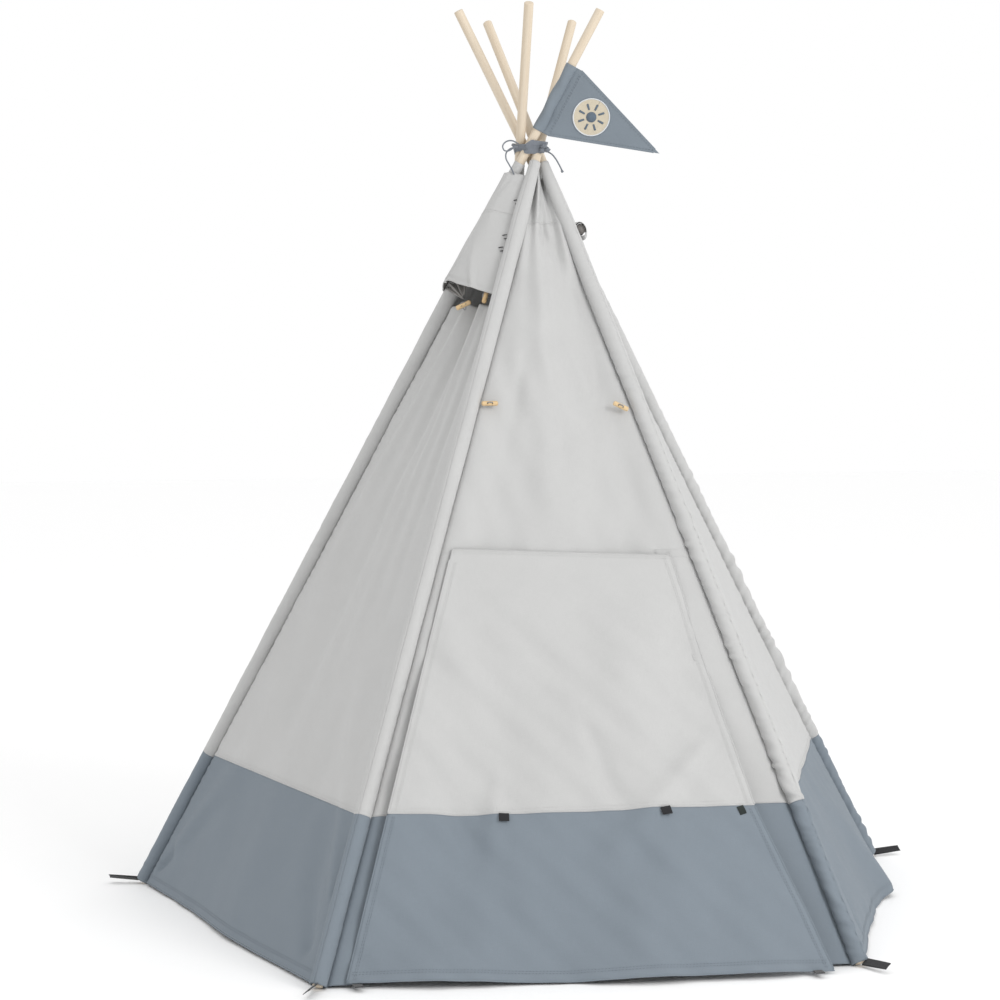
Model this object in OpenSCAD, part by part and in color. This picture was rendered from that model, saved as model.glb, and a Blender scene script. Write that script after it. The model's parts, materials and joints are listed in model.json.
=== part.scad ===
// Five-pole teepee tent: jointed wooden poles crossing at a tied ring, a cover
// with a pocket for each pole, a lifting door, two vent hoods and a pennant.
// Millimetres, +Z up, origin on the ground at the middle of the outline, door towards -Y.

/* [Poles] */
// Length of each pole, both sections together
pole_length = 2200; // [2120:10:2300]
// Diameter of a pole
pole_d = 20; // [19:0.5:20.5]
// Radius of the circle that the pole feet stand on
base_radius = 900; // [850:10:950]
// Height at which the poles cross
crossing_height = 1640; // [1600:10:1700]
// Distance by which each pole passes the centre line
waist_offset = 22; // [21.5:0.5:24]
// Share of the length taken by the lower section
lower_share = 0.47; // [0.40:0.01:0.55]
// Length of the metal ferrule that joins two sections
ferrule_length = 120; // [80:10:150]

/* [Cover] */
// Thickness of the cloth
cloth_t = 1.5; // [1.2:0.1:2]
// Outer radius of a pole pocket
sleeve_r = 17.5; // [16:0.5:18]
// Height of the seam between the lower band and the light cloth
band_height = 300; // [240:10:360]
// Height of the top seam of the side panels with a vent
vent_height = 1300; // [1260:10:1320]
// Height of the seam of the peak pieces
peak_seam_height = 1475; // [1460:5:1490]
// How far a vent hood stands out
hood_bulge = 34; // [20:1:45]

/* [Door] */
// Height of the seam that the door hangs from
door_height = 790; // [700:10:880]
// Cloth left between the pole and the door at the top
strip_top = 39; // [36:1:50]
// Cloth left between the pole and the door at the bottom
strip_bottom = 53; // [46:1:70]
// How far the door laps over the edge of the doorway
door_lap = 25; // [15:1:35]

/* [Fittings] */
// Length of a wooden toggle
toggle_length = 34; // [28:1:40]
// Diameter of a wooden toggle
toggle_d = 10; // [8:0.5:12]
// Width of the black webbing
webbing_w = 20; // [15:1:25]
// Reach of the pennant from its pole
flag_reach = 260; // [200:10:300]
// Height of the pennant along its pole
flag_height = 156; // [120:2:160]
// Radius of the round patch on the pennant
patch_r = 40; // [25:1:42]

/* [Hidden] */

$fn = 48;
pole_count = 5;
first_azimuth = 234;
pole_r = pole_d / 2;
pole_chamfer = 1.5;
joint_chamfer = 0.3;
section_gap = 0.5;
ferrule_gap = 0.1;
ferrule_wall = 1.1;
seam_gap = 0.4;
hem_height = 6;
sleeve_top_height = 1600;
sleeve_top_r = pole_r + 2;
taper_height = 1490;
cover_top_height = 1555;
cloth_clearance = 1.2;
// The chords between poles cross the poles at about this angle from square
chord_skew = 17;
flap_offset = 4;
webbing_t = 1.2;
loop_gap = 6;

wood = [0.90, 0.79, 0.64];
metal = [0.70, 0.71, 0.72];
light_cloth = [0.80, 0.80, 0.79];
slate_cloth = [0.47, 0.52, 0.56];
black_webbing = [0.06, 0.06, 0.07];
toggle_wood = [0.86, 0.73, 0.52];
tie_grey = [0.42, 0.45, 0.48];
patch_cream = [0.85, 0.83, 0.76];

// ---- Geometry of the frame ----
function azimuth(i) = first_azimuth + 360 / pole_count * i;
function radial(i) = [cos(azimuth(i)), sin(azimuth(i)), 0];
function tangent(i) = [-sin(azimuth(i)), cos(azimuth(i)), 0];
function unit(v) = v / norm(v);
// The ring of feet reaches further back than forward, so its centre stands before the origin
centre_y = -base_radius * (1 - cos(180 / pole_count)) / 2;
function foot(i) = base_radius * radial(i) + [0, centre_y, 0];
function waist(i) = waist_offset * tangent(i) + [0, centre_y, crossing_height];
function pole_dir(i) = unit(waist(i) - foot(i));
function on_pole(i, z) = foot(i) + (waist(i) - foot(i)) * z / crossing_height;
function rise() = pole_dir(0)[2];
function lean() = acos(rise());
function chord(k, z) = unit(on_pole(k + 1, z) - on_pole(k, z));
function width(k, z) = norm(on_pole(k + 1, z) - on_pole(k, z));
function middle(k, z) = (on_pole(k, z) + on_pole(k + 1, z)) / 2;
function panel_up(k) = cross(outward(k), chord(k, 0));
function outward(k) = unit(cross(chord(k, 0), middle(k, door_height) - middle(k, 0)));
function pocket_r(z) = z < taper_height ? sleeve_r
    : sleeve_r - (sleeve_r - sleeve_top_r) * (z - taper_height) / (sleeve_top_height - taper_height);
function inset(z) = (pocket_r(z) + cloth_clearance) / cos(chord_skew);

// A point on panel k at height z, c along the chord from its first pole, off outward
function cloth_point(k, z, c, off = 0) = on_pole(k, z) + chord(k, z) * c + outward(k) * off;
// The same, with t running from one pocket to the next
function panel_point(k, z, t, off = 0) =
    cloth_point(k, z, inset(z) + t * (width(k, z) - 2 * inset(z)), off);

// Moves a shape drawn along +Z to a point and a direction
module along(point, direction) {
    translate(point)
        rotate([0, acos(direction[2]), atan2(direction[1], direction[0])])
            children();
}

// A shape drawn in a panel's own axes: X along the chord, Y up the cloth, Z outward
module on_panel(k, point) {
    x = chord(k, 0);
    n = outward(k);
    y = panel_up(k);
    multmatrix([
        [x[0], y[0], n[0], point[0]],
        [x[1], y[1], n[1], point[1]],
        [x[2], y[2], n[2], point[2]],
        [0, 0, 0, 1]
    ])
        children();
}

// A closed sheet over a grid of points: rows go up, columns along the chord
module sheet(grid, normal, thick = cloth_t) {
    rows = len(grid);
    cols = len(grid[0]);
    flat = [for (row = grid) for (p = row) p];
    count = rows * cols;
    quads = concat(
        [for (r = [0:rows - 2]) for (c = [0:cols - 2])
            [r * cols + c, (r + 1) * cols + c, (r + 1) * cols + c + 1, r * cols + c + 1]],
        [for (r = [0:rows - 2]) for (c = [0:cols - 2])
            [count + r * cols + c, count + r * cols + c + 1,
             count + (r + 1) * cols + c + 1, count + (r + 1) * cols + c]],
        [for (c = [0:cols - 2]) [c, c + 1, count + c + 1, count + c]],
        [for (c = [0:cols - 2]) let (e = (rows - 1) * cols)
            [e + c + 1, e + c, count + e + c, count + e + c + 1]],
        [for (r = [0:rows - 2])
            [(r + 1) * cols, r * cols, count + r * cols, count + (r + 1) * cols]],
        [for (r = [0:rows - 2]) let (e = cols - 1)
            [r * cols + e, (r + 1) * cols + e, count + (r + 1) * cols + e, count + r * cols + e]]
    );
    polyhedron(
        concat([for (p = flat) p + normal * thick / 2], [for (p = flat) p - normal * thick / 2]),
        [for (q = quads) for (h = [[q[0], q[1], q[2]], [q[0], q[2], q[3]]]) h]
    );
}

// A round bar along +Z with its own chamfer at each end
module bar(r, from, to, low_chamfer, high_chamfer) {
    rotate_extrude()
        polygon([
            [0, from], [r - low_chamfer, from], [r, from + low_chamfer],
            [r, to - high_chamfer], [r - high_chamfer, to], [0, to]
        ]);
}

// ---- Poles ----
module pole_lower(i) {
    color(wood)
        along(foot(i), pole_dir(i))
            bar(pole_r, pole_r * tan(lean()), lower_share * pole_length, pole_chamfer, joint_chamfer);
}

module pole_upper(i) {
    color(wood)
        along(foot(i), pole_dir(i))
            bar(pole_r, lower_share * pole_length + section_gap, pole_length, joint_chamfer, pole_chamfer);
}

module ferrule(i) {
    color(metal)
        along(foot(i), pole_dir(i))
            translate([0, 0, lower_share * pole_length - ferrule_length / 2])
                difference() {
                    cylinder(r = pole_r + ferrule_gap + ferrule_wall, h = ferrule_length);
                    translate([0, 0, -1])
                        cylinder(r = pole_r + ferrule_gap, h = ferrule_length + 2);
                }
}

// ---- Pole pockets ----
module sleeve(i) {
    from = (band_height + seam_gap / 2) / rise();
    taper = taper_height / rise();
    to = sleeve_top_height / rise();
    wall = sleeve_top_r - pole_r - 0.5;
    color(light_cloth)
        along(foot(i), pole_dir(i))
            rotate_extrude()
                polygon([
                    [sleeve_r - wall, from], [sleeve_r, from], [sleeve_r, taper],
                    [sleeve_top_r, to], [sleeve_top_r - wall, to], [sleeve_r - wall, taper]
                ]);
}

module sleeve_band(i) {
    from = sleeve_r * tan(lean()) + 1;
    to = (band_height - seam_gap / 2) / rise();
    wall = sleeve_top_r - pole_r - 0.5;
    color(slate_cloth)
        along(foot(i), pole_dir(i))
            translate([0, 0, from])
                difference() {
                    cylinder(r = sleeve_r, h = to - from);
                    translate([0, 0, -1])
                        cylinder(r = sleeve_r - wall, h = to - from + 2);
                }
}

// ---- Panels ----
// The piece bends where the pockets start to taper
module panel_piece(k, low, high, cloth) {
    levels = low < taper_height && high > taper_height ? [low, taper_height, high] : [low, high];
    color(cloth)
        sheet([for (z = levels) [for (t = [0, 1]) panel_point(k, z, t)]], outward(k));
}

// A strip of the front beside the doorway; side 0 is on the left, side 1 on the right
module doorway_strip(side, low, high, cloth) {
    color(cloth)
        sheet([
            for (z = [low, high])
                let (near = inset(z), far = door_edge(z) + door_lap, w = width(0, z))
                    side == 0
                        ? [cloth_point(0, z, near), cloth_point(0, z, far)]
                        : [cloth_point(0, z, w - far), cloth_point(0, z, w - near)]
        ], outward(0));
}

// Distance from the pole to the edge of the door at height z
function door_edge(z) = strip_bottom + (strip_top - strip_bottom) * z / door_height;

// How far the cloth of a vent stands out from the plane of its panel
function hood_rise(z) =
    hood_bulge * sqrt(max(0, (cover_top_height - z) / (cover_top_height - hood_rim_height)));
hood_rim_height = 1337;
hood_columns = 8;
hood_edge = 6;

module hood_piece(k, low, high, rows) {
    color(light_cloth)
        sheet([
            for (r = [0:rows])
                let (z = low + (high - low) * r / rows)
                    [for (c = [0:hood_columns])
                        let (t = c / hood_columns)
                            panel_point(k, z, t, hood_rise(z) * sin(180 * t)
                                + hood_edge * max(0, peak_seam_height - z) / (peak_seam_height - low))]
        ], outward(k));
}

// Room left at the ends of the rolled hood, both together
roll_clearance = 14;

// The right hood is rolled up and tied under its seam
module rolled_hood(k) {
    roll_z = peak_seam_height - 24;
    roll_r = 15;
    roll_wall = 4;
    reach = width(k, roll_z) - 2 * inset(roll_z) - roll_clearance;
    color(light_cloth)
        on_panel(k, middle(k, roll_z) + outward(k) * (roll_r + 10))
            rotate([0, 90, 0])
                difference() {
                    cylinder(r = roll_r, h = reach, center = true);
                    cylinder(r = roll_r - roll_wall, h = reach + 2, center = true);
                }
}

// ---- Door ----
module door_piece(low, high, cloth) {
    color(cloth)
        sheet([
            for (z = [low, high])
                let (edge = door_edge(z), w = width(0, z))
                    [cloth_point(0, z, edge, flap_offset), cloth_point(0, z, w - edge, flap_offset)]
        ], outward(0));
}

// A webbing loop seen from its side: a sewn tab along +X that opens into a slot
module webbing_loop(tab, slot) {
    height = loop_gap + 2 * webbing_t;
    linear_extrude(webbing_w, center = true)
        difference() {
            union() {
                square([tab + 1, 2 * webbing_t]);
                translate([tab, 0])
                    square([slot, height]);
                translate([tab + slot, height / 2])
                    circle(r = height / 2);
            }
            translate([tab + webbing_t, webbing_t])
                square([slot - webbing_t, loop_gap]);
            translate([tab + slot, height / 2])
                circle(r = loop_gap / 2);
        }
}

door_loop_clearance = 1.2;
door_loop_x = 160;
door_peg_x = 440;
door_loop_tab = 6;
door_loop_slot = 14;
door_peg_tab = 12;
door_peg_slot = 24;

module door_webbing() {
    z = band_height - 6;
    bottom_y = middle(0, hem_height)[1] - 10;
    color(black_webbing) {
        for (x = [-door_loop_x, door_loop_x])
            on_panel(0, middle(0, z) + [x, 0, 0] + outward(0) * (flap_offset + cloth_t / 2 + door_loop_clearance))
                rotate([0, 0, -90])
                    rotate([90, 0, 0])
                        webbing_loop(door_loop_tab, door_loop_slot);
        for (x = [-door_peg_x, door_peg_x])
            translate([x, bottom_y, 0.5])
                rotate([0, 0, -90])
                    rotate([90, 0, 0])
                        webbing_loop(door_peg_tab, door_peg_slot);
    }
}

label_size = 14;
label_x = 318;

module label() {
    color(black_webbing)
        on_panel(0, middle(0, band_height + 8) + [label_x, 0, 0]
                + outward(0) * (flap_offset + cloth_t / 2 + 0.6))
            cube([label_size, label_size, 0.8], center = true);
}

// ---- Webbing loops for the ground pegs ----
peg_loop_start = 6;
peg_loop_tab = 30;
peg_loop_slot = 34;

module peg_loop(i) {
    color(black_webbing)
        translate(foot(i) + radial(i) * peg_loop_start)
            rotate([0, 0, azimuth(i)])
                rotate([90, 0, 0])
                    webbing_loop(peg_loop_tab, peg_loop_slot);
}

// ---- Toggles: a bar with two cord holes ----
toggle_hole_r = 1.4;
toggle_hole_spacing = 10;
toggle_chamfer = 2;

module toggle(point, direction) {
    color(toggle_wood)
        along(point, direction)
            difference() {
                bar(toggle_d / 2, -toggle_length / 2, toggle_length / 2, toggle_chamfer, toggle_chamfer);
                for (s = [-1, 1])
                    translate([0, 0, s * toggle_hole_spacing / 2])
                        rotate([90, 0, 0])
                            cylinder(r = toggle_hole_r, h = 2 * toggle_d, center = true, $fn = 24);
            }
}

door_toggle_height = 1086;
vent_toggle_height = 1289;
front_vent_toggle_height = 1312;
toggle_stand = 11;
toggle_from_pole = sleeve_r + toggle_length / 2 + 4;
left_vent_toggle_along = 126;
left_vent_toggle_stand = 22;
left_vent_toggle_tilt = 25;
right_door_toggle_drop = 8;
right_door_toggle_tilt = 28;

// ---- Pennant on the left pole ----
flag_pole = 4;
flag_from = 1912;
flag_sleeve_r = pole_r + 1.8;
flag_sleeve_wall = 1.2;
flag_tip_share = 0.5;
patch_along = 78;
patch_across = 92;

// Pennant axes: X along the pole, Y downhill away from it, Z towards the front
module on_flag() {
    d = pole_dir(flag_pole);
    level = unit([d[0], d[1], 0]);
    q = unit(level - d * (level * d));
    n = cross(d, q);
    base = foot(flag_pole) + d * flag_from;
    multmatrix([
        [d[0], q[0], n[0], base[0]],
        [d[1], q[1], n[1], base[1]],
        [d[2], q[2], n[2], base[2]],
        [0, 0, 0, 1]
    ])
        children();
}

module pennant() {
    color(slate_cloth)
        on_flag() {
            rotate([0, 90, 0])
                difference() {
                    cylinder(r = flag_sleeve_r, h = flag_height);
                    translate([0, 0, -1])
                        cylinder(r = flag_sleeve_r - flag_sleeve_wall, h = flag_height + 2);
                }
            linear_extrude(flag_sleeve_wall, center = true)
                polygon([
                    [0, flag_sleeve_r - 0.6], [0, 26], [flag_height * flag_tip_share, flag_reach],
                    [flag_height, 26], [flag_height, flag_sleeve_r - 0.6]
                ]);
        }
}

module pennant_patch() {
    color(patch_cream)
        on_flag()
            translate([patch_along, patch_across, -flag_sleeve_wall / 2 - 1])
                cylinder(r = patch_r, h = 0.8);
}

// ---- Tie ----
tie_low = 1626;
tie_high = 1650;
tie_inner_r = waist_offset + pole_r + 3.8;
tie_wall = 2.5;
tail_r = 1.6;
tail_sides = 8;
tail_steps = 3;
bow_route = [
    [-30, -29, 1646], [-44, -33, 1652], [-57, -35, 1650], [-65, -36, 1641],
    [-62, -37, 1631], [-52, -38, 1630], [-42, -37, 1636], [-32, -33, 1640]
];
left_tail_route = [
    [-34, -24, 1638], [-46, -27, 1636], [-56, -28, 1627],
    [-57, -29, 1614], [-51, -30, 1602], [-45, -31, 1591], [-40, -31, 1580]
];
right_tail_route = [
    [34, -25, 1630], [43, -30, 1624], [51, -32, 1614], [58, -33, 1602], [65, -34, 1588]
];

// A smooth curve through a list of points
function smooth(p, i, u) =
    let (a = p[max(i - 1, 0)], b = p[i], c = p[i + 1], d = p[min(i + 2, len(p) - 1)])
        0.5 * (2 * b + (c - a) * u + (2 * a - 5 * b + 4 * c - d) * u * u
            + (3 * b - a - 3 * c + d) * u * u * u);
function route(p) = concat(
    [for (i = [0:len(p) - 2]) for (s = [0:tail_steps - 1]) smooth(p, i, s / tail_steps)],
    [p[len(p) - 1]]
);
function heading(path, i) = unit(path[min(i + 1, len(path) - 1)] - path[max(i - 1, 0)]);

module tube(points) {
    path = route(points);
    rings = len(path);
    polyhedron(
        [for (i = [0:rings - 1])
            let (d = heading(path, i), u = unit(cross(d, [0, 1, 0.01])), v = cross(d, u))
                for (s = [0:tail_sides - 1])
                    path[i] + tail_r * (u * cos(360 * s / tail_sides) + v * sin(360 * s / tail_sides))],
        concat(
            [[for (s = [0:tail_sides - 1]) s]],
            [[for (s = [tail_sides - 1:-1:0]) (rings - 1) * tail_sides + s]],
            [for (i = [0:rings - 2]) for (s = [0:tail_sides - 1])
                let (e = (s + 1) % tail_sides, a = i * tail_sides, b = a + tail_sides)
                    for (h = [[a + s, b + s, b + e], [a + s, b + e, a + e]]) h]
        )
    );
}

module tie_ring() {
    color(tie_grey)
        translate([0, centre_y, tie_low])
            difference() {
                cylinder(r = tie_inner_r + tie_wall, h = tie_high - tie_low);
                translate([0, 0, -1])
                    cylinder(r = tie_inner_r, h = tie_high - tie_low + 2);
            }
}

module tails() {
    color(tie_grey)
        translate([0, centre_y, 0]) {
            tube(bow_route);
            tube(left_tail_route);
            tube(right_tail_route);
        }
}

low_edge = band_height + seam_gap / 2;
band_edge = band_height - seam_gap / 2;
door_edge_low = door_height + seam_gap / 2;
door_edge_high = door_height - seam_gap / 2;
peak_low = peak_seam_height + seam_gap / 2;
peak_high = peak_seam_height - seam_gap / 2;

pole_lower(0);  // front_left_pole_lower
pole_upper(0);  // front_left_pole_upper
ferrule(0);  // front_left_ferrule
pole_lower(1);  // front_right_pole_lower
pole_upper(1);  // front_right_pole_upper
ferrule(1);  // front_right_ferrule
pole_lower(2);  // right_pole_lower
pole_upper(2);  // right_pole_upper
ferrule(2);  // right_ferrule
pole_lower(3);  // rear_pole_lower
pole_upper(3);  // rear_pole_upper
ferrule(3);  // rear_ferrule
pole_lower(4);  // left_pole_lower
pole_upper(4);  // left_pole_upper
ferrule(4);  // left_ferrule
sleeve(0);  // front_left_sleeve
sleeve_band(0);  // front_left_sleeve_band
sleeve(1);  // front_right_sleeve
sleeve_band(1);  // front_right_sleeve_band
sleeve(2);  // right_sleeve
sleeve_band(2);  // right_sleeve_band
sleeve(3);  // rear_sleeve
sleeve_band(3);  // rear_sleeve_band
sleeve(4);  // left_sleeve
sleeve_band(4);  // left_sleeve_band
panel_piece(0, peak_low, cover_top_height, light_cloth);  // front_peak
panel_piece(0, door_edge_low, peak_high, light_cloth);  // front_panel
doorway_strip(0, low_edge, door_edge_high, light_cloth);  // front_strip_left
doorway_strip(1, low_edge, door_edge_high, light_cloth);  // front_strip_right
doorway_strip(0, hem_height, band_edge, slate_cloth);  // front_band_left
doorway_strip(1, hem_height, band_edge, slate_cloth);  // front_band_right
hood_piece(4, peak_low, cover_top_height, 4);  // left_peak
hood_piece(4, hood_rim_height, peak_high, 6);  // left_vent_hood
panel_piece(4, low_edge, vent_height, light_cloth);  // left_panel
panel_piece(4, hem_height, band_edge, slate_cloth);  // left_band
panel_piece(1, peak_low, cover_top_height, light_cloth);  // right_peak
rolled_hood(1);  // right_vent_hood
panel_piece(1, low_edge, vent_height, light_cloth);  // right_panel
panel_piece(1, hem_height, band_edge, slate_cloth);  // right_band
panel_piece(3, low_edge, cover_top_height, light_cloth);  // rear_left_panel
panel_piece(3, hem_height, band_edge, slate_cloth);  // rear_left_band
panel_piece(2, low_edge, cover_top_height, light_cloth);  // rear_right_panel
panel_piece(2, hem_height, band_edge, slate_cloth);  // rear_right_band
door_piece(low_edge, door_edge_high, light_cloth);  // door_flap
door_piece(hem_height + 2, band_edge, slate_cloth);  // door_band
door_webbing();  // door_webbing_loops
label();  // door_label
peg_loop(0);  // front_left_peg_loop
peg_loop(1);  // front_right_peg_loop
peg_loop(2);  // right_peg_loop
peg_loop(3);  // rear_peg_loop
peg_loop(4);  // left_peg_loop
toggle(cloth_point(0, door_toggle_height, toggle_from_pole, toggle_stand), [1, 0, 0]);  // left_door_toggle
toggle(  // right_door_toggle
        cloth_point(0, door_toggle_height - right_door_toggle_drop,
            width(0, door_toggle_height) - toggle_from_pole, toggle_stand),
        chord(0, 0) * cos(right_door_toggle_tilt) - panel_up(0) * sin(right_door_toggle_tilt)
    );
toggle(cloth_point(4, vent_toggle_height, left_vent_toggle_along, left_vent_toggle_stand),  // left_vent_toggle
        [cos(left_vent_toggle_tilt), 0, sin(left_vent_toggle_tilt)]);
toggle(cloth_point(4, front_vent_toggle_height, width(4, front_vent_toggle_height) - toggle_from_pole,  // front_vent_toggle
        toggle_stand), pole_dir(0));
pennant();  // flag
pennant_patch();  // flag_patch
tie_ring();  // tie_wrap
tails();  // tie_tails
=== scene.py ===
"""Looks of the five-pole teepee tent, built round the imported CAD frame.

Metres, +Z up, origin on the ground at the centre, door towards -Y.
"""
import json
import math

import bpy
import numpy as np
from mathutils import Matrix, Vector

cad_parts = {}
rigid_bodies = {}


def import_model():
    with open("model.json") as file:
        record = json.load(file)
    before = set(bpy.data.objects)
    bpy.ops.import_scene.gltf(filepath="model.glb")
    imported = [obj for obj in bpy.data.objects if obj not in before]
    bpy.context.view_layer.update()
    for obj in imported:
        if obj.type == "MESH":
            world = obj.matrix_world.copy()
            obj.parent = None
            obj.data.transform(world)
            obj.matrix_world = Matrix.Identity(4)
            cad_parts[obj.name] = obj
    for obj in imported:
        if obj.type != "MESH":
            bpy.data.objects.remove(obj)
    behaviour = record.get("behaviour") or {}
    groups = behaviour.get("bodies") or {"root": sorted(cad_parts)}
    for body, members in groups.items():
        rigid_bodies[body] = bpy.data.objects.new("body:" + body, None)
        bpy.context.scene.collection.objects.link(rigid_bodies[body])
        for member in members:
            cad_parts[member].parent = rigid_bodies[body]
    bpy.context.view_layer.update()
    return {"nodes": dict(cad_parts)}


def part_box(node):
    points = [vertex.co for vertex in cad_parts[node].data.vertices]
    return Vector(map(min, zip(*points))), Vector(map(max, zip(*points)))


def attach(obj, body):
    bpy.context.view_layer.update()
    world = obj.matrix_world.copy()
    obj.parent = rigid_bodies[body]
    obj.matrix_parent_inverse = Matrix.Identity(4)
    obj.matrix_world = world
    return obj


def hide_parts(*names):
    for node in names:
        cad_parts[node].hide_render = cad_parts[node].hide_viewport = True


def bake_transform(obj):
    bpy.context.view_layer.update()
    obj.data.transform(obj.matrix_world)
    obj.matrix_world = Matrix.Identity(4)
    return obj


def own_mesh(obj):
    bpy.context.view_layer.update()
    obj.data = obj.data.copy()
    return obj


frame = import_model()

TAU = 2 * math.pi
outer = np.multiply.outer
POLES = ["front_left", "front_right", "right", "rear", "left"]
FRONT, RIGHT, REAR_RIGHT, REAR_LEFT, LEFT = range(5)
CLOTH = 0.0012


# ---- frame geometry
def node_points(node):
    """The corners of a CAD node, one row each."""
    return np.array([v.co[:] for v in frame["nodes"][node].data.vertices])


def pole_line(name):
    """A pole's axis: its point on the ground and its direction."""
    low, high = (node_points(f"{name}_pole_{part}") for part in ("lower", "upper"))
    start = low.mean(0)
    direction = high.mean(0) - start
    direction /= np.linalg.norm(direction)
    return start - direction * start[2] / direction[2], direction


LINES = [pole_line(name) for name in POLES]
CENTRE = sum(start for start, _ in LINES) / len(LINES)
BAND_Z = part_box("left_band")[1].z
HEM_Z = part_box("left_band")[0].z
DOOR_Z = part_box("door_flap")[1].z
VENT_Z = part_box("left_panel")[1].z
SEAM_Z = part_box("front_panel")[1].z
COVER_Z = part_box("front_peak")[1].z
SLEEVE_TOP_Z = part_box("left_sleeve")[1].z
HOOD_RIM_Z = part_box("left_vent_hood")[0].z
TOGGLES = {name: np.array(sum(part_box(name), Vector()) / 2) for name in
           ("left_door_toggle", "right_door_toggle", "left_vent_toggle", "front_vent_toggle")}
# A pocket's radius narrows from TAPER_Z to its top, and no pocket goes inside its pole
SLEEVE_R = 0.0172
SLEEVE_TOP_R = 0.0122
SLEEVE_LEAST_R = 0.0118
TAPER_Z = 1.49
# The share of a pocket's radius by which a panel's edge hides in it
TUCK = 0.55
# How far the door laps over each strip beside it
DOOR_LAP = 0.025


def on_pole(i, z):
    """Points of pole i's axis at heights z."""
    start, direction = LINES[i % 5]
    return start + outer(np.asarray(z, float), direction / direction[2])


def unit(v):
    v = np.asarray(v, float)
    return v / np.linalg.norm(v)


def panel_normal(k):
    low = (on_pole(k, 0.0) + on_pole(k + 1, 0.0)) / 2
    high = (on_pole(k, 0.8) + on_pole(k + 1, 0.8)) / 2
    return unit(np.cross(on_pole(k + 1, 0.0) - on_pole(k, 0.0), high - low))


NORMALS = [panel_normal(k) for k in range(5)]
OUTWARD = [unit([n[0], n[1], 0]) for n in NORMALS]


def width(k, z):
    return np.linalg.norm(on_pole(k + 1, z) - on_pole(k, z), axis=-1)


def panel_xyz(k, t, z, off=0.0):
    """Points on panel k: t runs from pole to pole, off stands out from the cloth's plane."""
    a, b = on_pole(k, z), on_pole(k + 1, z)
    return a + (b - a) * np.asarray(t)[..., None] + outer(off + 0 * z, NORMALS[k])


def sleeve_r(z):
    share = np.clip((z - TAPER_Z) / (SLEEVE_TOP_Z - TAPER_Z), 0, 1)
    return SLEEVE_R + (SLEEVE_TOP_R - SLEEVE_R) * share


# ---- shapes
def smoothstep(x, low=0.0, high=1.0):
    s = np.clip((np.asarray(x, float) - low) / (high - low), 0, 1)
    return s * s * (3 - 2 * s)


def swell(x, y, wave, seed, stretch=1.0, parts=7):
    """A smooth random height of about -1 to 1. Waves are wave long across and stretch times that along y."""
    draw = np.random.default_rng(seed)
    total = np.zeros(np.broadcast(x, y).shape)
    for _ in range(parts):
        turn, phase = draw.uniform(0, math.pi), draw.uniform(0, TAU)
        size = wave * draw.uniform(0.6, 1.7)
        total = total + np.sin(TAU * (x * math.cos(turn) + y / stretch * math.sin(turn)) / size + phase)
    return total / math.sqrt(parts)


def crease(x, y, start, end, spread, depth, fade=0.0):
    """A soft fold from start to end, spreading as it runs. fade is the share over which it sets in."""
    (x0, y0), (x1, y1) = start, end
    length2 = (x1 - x0) ** 2 + (y1 - y0) ** 2
    run = ((x - x0) * (x1 - x0) + (y - y0) * (y1 - y0)) / length2
    run_in = np.clip(run, 0, 1)
    away = np.hypot(x - x0 - run_in * (x1 - x0), y - y0 - run_in * (y1 - y0))
    reach = spread * (0.4 + run_in)
    set_in = smoothstep(run, 0, fade) if fade else 1.0
    return depth * (1 - 0.8 * run_in) * set_in * np.exp(-((away / reach) ** 2))


def mesh_object(name, points, faces, uv=None):
    mesh = bpy.data.meshes.new(name)
    mesh.from_pydata([tuple(p) for p in points], [], [tuple(f) for f in faces])
    if uv is not None:
        layer = mesh.uv_layers.new(name="UVMap")
        loops = np.zeros(len(mesh.loops), int)
        mesh.loops.foreach_get("vertex_index", loops)
        layer.data.foreach_set("uv", np.asarray(uv, np.float32)[loops].ravel())
    mesh.polygons.foreach_set("use_smooth", [True] * len(mesh.polygons))
    mesh.validate()
    made = bpy.data.objects.new(name, mesh)
    bpy.context.scene.collection.objects.link(made)
    return made


def grid_faces(rows, cols, wrap=False):
    faces = []
    for r in range(rows - 1):
        for c in range(cols if wrap else cols - 1):
            e = (c + 1) % cols
            faces.append((r * cols + c, r * cols + e, (r + 1) * cols + e, (r + 1) * cols + c))
    return faces


def cloth_grid(name, surface, rows, cols, thick=CLOTH):
    """A sheet from surface(u, v), with u across and v up; its UVs are the cloth's own metres."""
    v, u = np.meshgrid(np.linspace(0, 1, rows), np.linspace(0, 1, cols), indexing="ij")
    points = surface(u.ravel(), v.ravel()).reshape(rows, cols, 3)
    across = np.zeros((rows, cols))
    across[:, 1:] = np.cumsum(np.linalg.norm(np.diff(points, axis=1), axis=2), axis=1)
    across -= across[:, -1:] / 2
    up = np.zeros((rows, cols))
    up[1:] = np.cumsum(np.linalg.norm(np.diff(points, axis=0), axis=2), axis=0)
    made = mesh_object(
        name, points.reshape(-1, 3), grid_faces(rows, cols),
        np.stack([across.ravel(), up.ravel()], 1),
    )
    thicken(made, thick)
    return made


def between(point, low, high):
    """The surface of point(u, z) from height low to height high. Either may be a function of u."""
    def surface(u, v):
        bottom, top = (edge(u) if callable(edge) else edge for edge in (low, high))
        return point(u, bottom + (top - bottom) * v)
    return surface


def thicken(made, thick=CLOTH):
    shell = made.modifiers.new("cloth thickness", "SOLIDIFY")
    shell.thickness = thick
    shell.offset = 0
    shell.use_even_offset = False


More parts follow.
